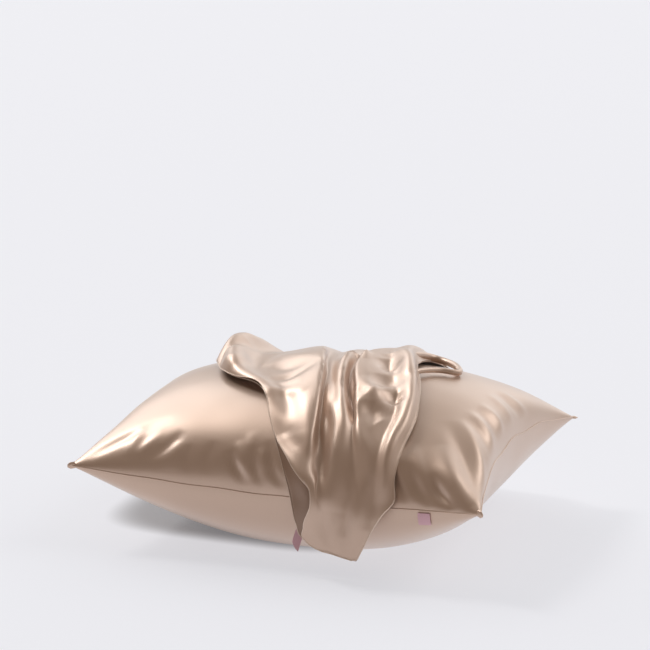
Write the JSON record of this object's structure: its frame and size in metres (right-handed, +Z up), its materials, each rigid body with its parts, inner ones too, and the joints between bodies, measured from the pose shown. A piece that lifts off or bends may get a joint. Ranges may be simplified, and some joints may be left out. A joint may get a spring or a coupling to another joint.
{
  "type": "satin pillowcase draped over a pillow in its case",
  "caption": "Empty satin pillowcase hanging in folds over the crown of a plump pillow that wears a matching case, with small plain ribbon tabs in the side seams.",
  "frame": {"origin": "middle of the flat spot under the pillow, on the surface it rests on", "axes": "+X along the pillow's long side towards the drape's front corner, +Y towards the back, +Z up"},
  "size_m": [0.62, 0.4989, 0.2639],
  "materials": {
    "champagne_satin": "glossy charmeuse satin, champagne",
    "pink_label": "plain woven ribbon, dusty pink"
  },
  "bodies": {
    "root": {"pillow": "champagne_satin", "pillow_label": "pink_label", "draped_front_panel": "champagne_satin", "draped_back_panel": "champagne_satin", "draped_label": "pink_label"}
  },
  "joints": []
}
